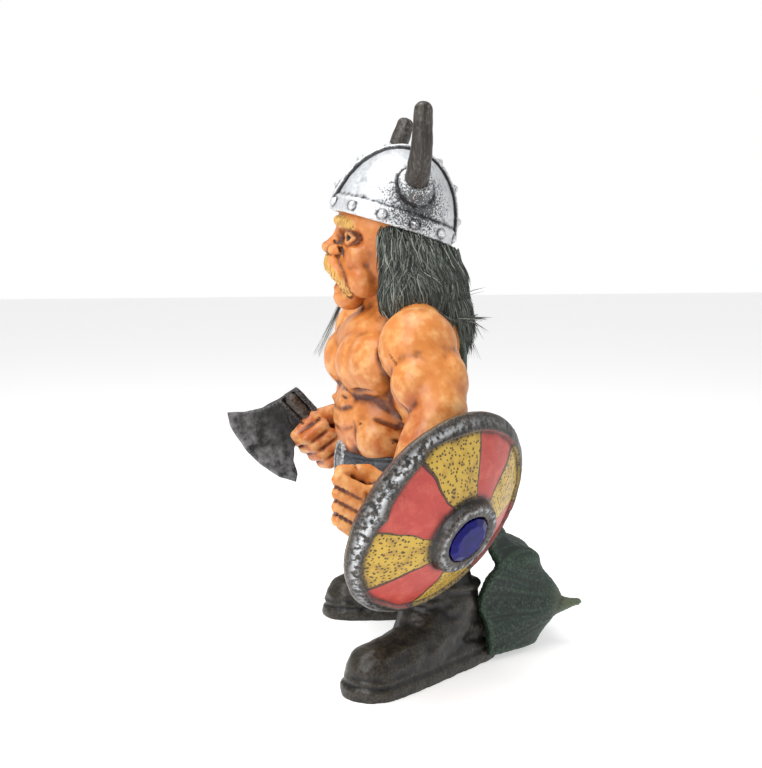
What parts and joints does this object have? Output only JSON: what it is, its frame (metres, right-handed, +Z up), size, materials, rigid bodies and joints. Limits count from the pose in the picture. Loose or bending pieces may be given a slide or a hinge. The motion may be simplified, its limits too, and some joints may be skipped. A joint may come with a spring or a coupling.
{
  "type": "viking warrior statue",
  "caption": "Painted cast figurine of a standing viking warrior with a horned helmet, a grey fur wig, a long cape, a round painted shield with a blue stone, and a broad axe.",
  "frame": {"origin": "middle of the bottom of the box round the whole figurine, on the table", "axes": "+Z up, +X to the warrior's left, where the shield is, -Y the way the warrior looks"},
  "size_m": [0.1344, 0.1172, 0.185],
  "materials": {
    "painted_casting": "painted, satin",
    "fur": "grey fur fibres",
    "cape_cloth": "painted fibrous cloth",
    "helmet_silver": "silver paint, dry-brushed",
    "horn_dark": "painted, satin",
    "shield_paint": "red, yellow and black paint, satin",
    "blue_stone": "glossy faceted stone",
    "axe_black": "black paint with grey dry-brush"
  },
  "bodies": {
    "root": {"figure": "painted_casting", "cape": "cape_cloth", "wig": "fur", "helmet": "helmet_silver", "horn_left": "horn_dark", "horn_right": "horn_dark", "shield": "shield_paint", "shield_gem": "blue_stone", "axe_head": "axe_black", "axe_handle": "axe_black"}
  },
  "joints": []
}
